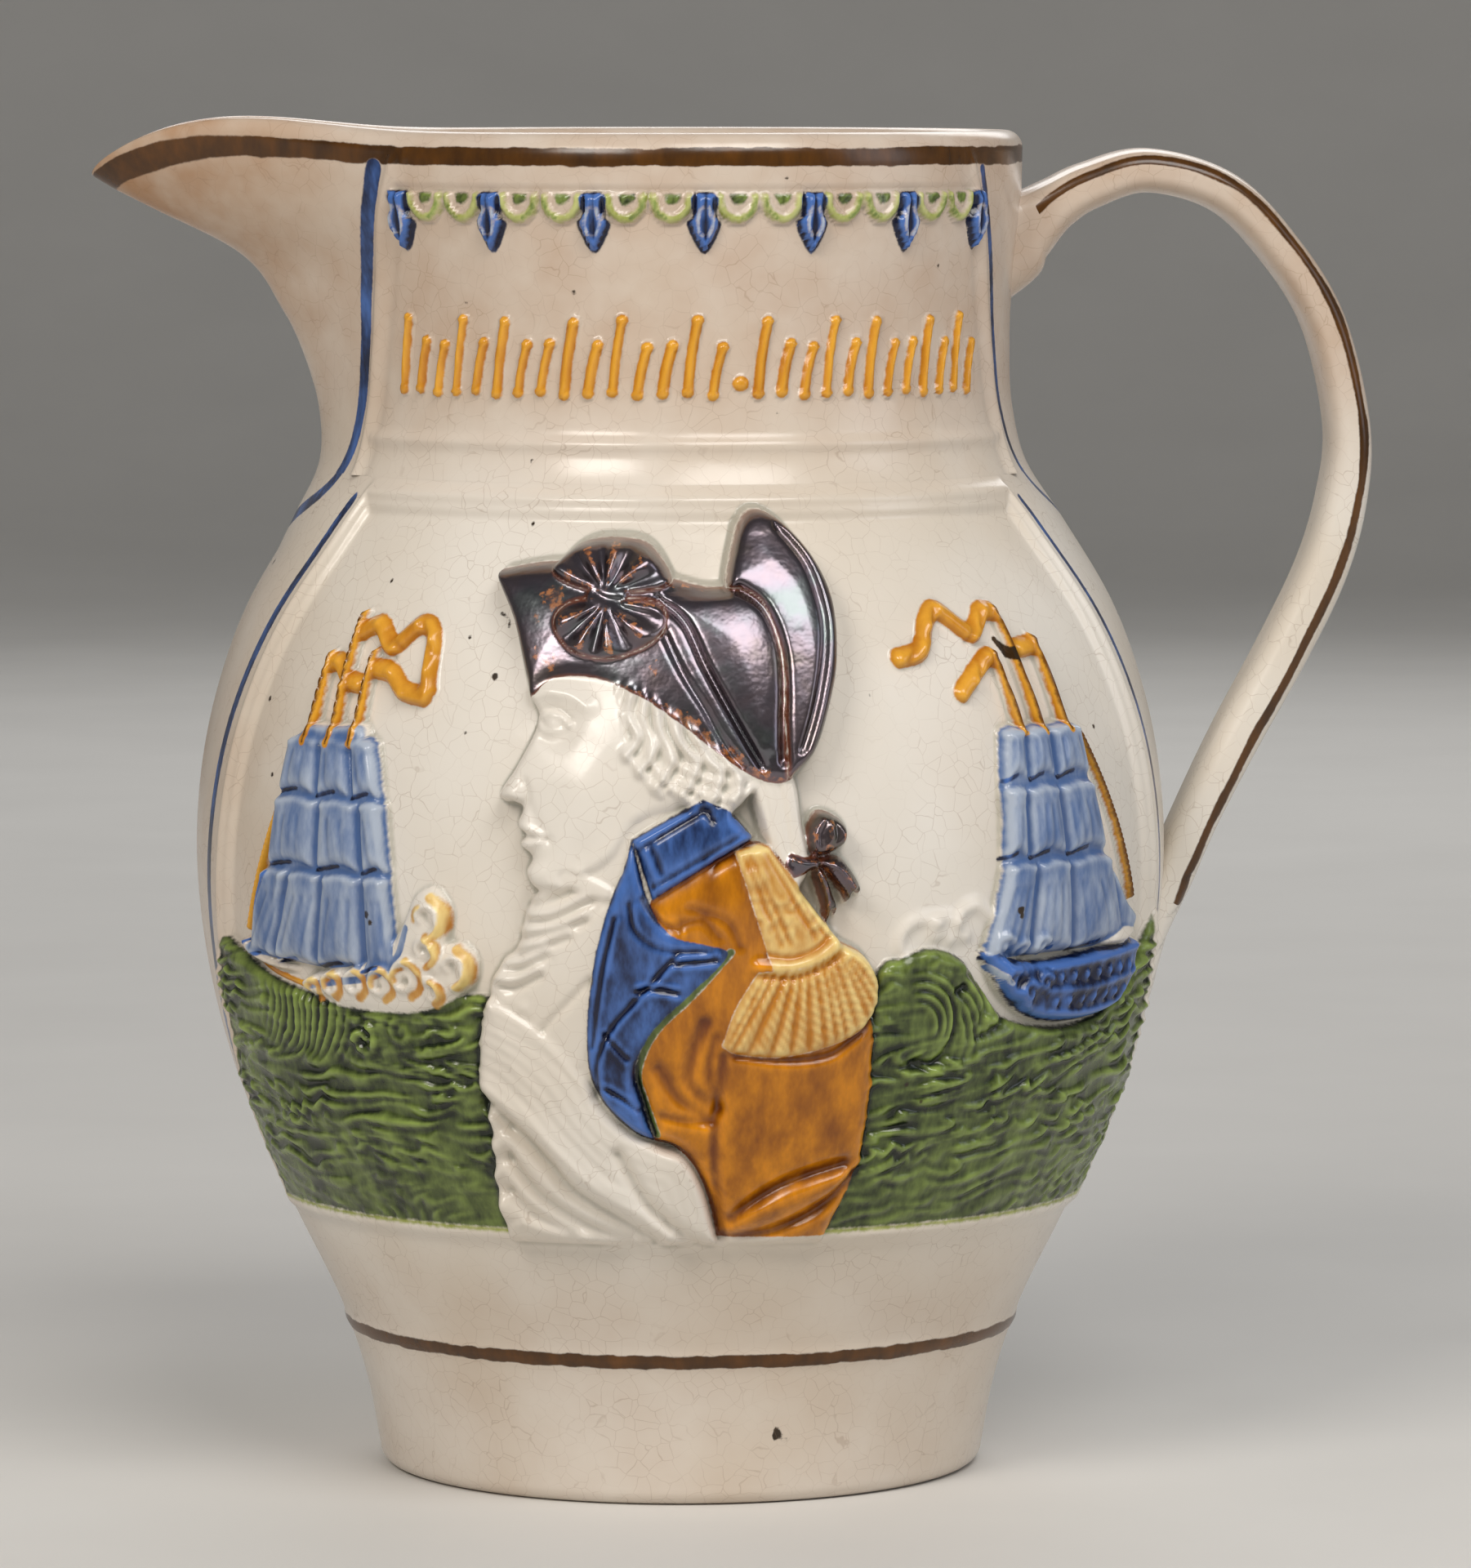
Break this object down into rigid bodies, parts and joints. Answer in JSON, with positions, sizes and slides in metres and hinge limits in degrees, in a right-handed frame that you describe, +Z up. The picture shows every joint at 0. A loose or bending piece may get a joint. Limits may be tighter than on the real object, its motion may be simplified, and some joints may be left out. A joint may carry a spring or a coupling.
{
  "type": "relief-moulded jug",
  "caption": "Small relief-moulded earthenware jug with a beak spout, a strap handle and a moulded panel on each side.",
  "frame": {"origin": "centre of the flat underside of the foot", "axes": "+Z up along the turned body's axis, -X towards the spout, +X towards the handle, -Y towards the panel seen in the picture"},
  "size_m": [0.1435, 0.1156, 0.1515],
  "materials": {
    "glazed_pearlware": "cream earthenware under a clear glossy lead glaze, crazed, painted in blue, ochre, green and brown"
  },
  "bodies": {
    "root": {"jug": "glazed_pearlware"}
  },
  "joints": []
}
